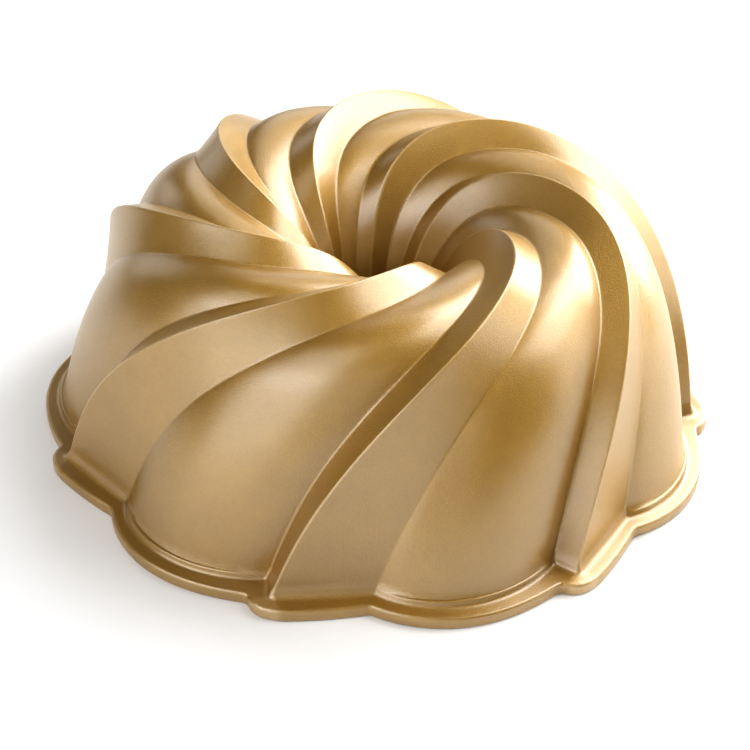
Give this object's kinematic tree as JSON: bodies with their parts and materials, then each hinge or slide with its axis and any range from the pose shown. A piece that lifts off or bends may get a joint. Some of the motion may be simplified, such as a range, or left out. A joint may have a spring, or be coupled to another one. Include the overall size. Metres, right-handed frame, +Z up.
{
  "type": "bundt pan",
  "caption": "Fluted tube cake pan in coated cast aluminium, upside down on its rim, with swirled flutes, a scalloped flange and a central tube hole.",
  "frame": {"origin": "on the centre tube's axis, at the surface that the rim stands on", "axes": "+Z up along the tube's axis, from the rim to the crest of the upturned pan; the flutes climb towards +X on the -Y side"},
  "size_m": [0.2594, 0.2553, 0.0989],
  "materials": {
    "cast_aluminium": "bare cast",
    "gold_coat": "satin metallic gold with a fine grain",
    "release_coat": "dark satin non-stick"
  },
  "bodies": {
    "root": {"pan_casting": "cast_aluminium", "outer_coat": "gold_coat", "inner_lining": "release_coat"}
  },
  "joints": []
}
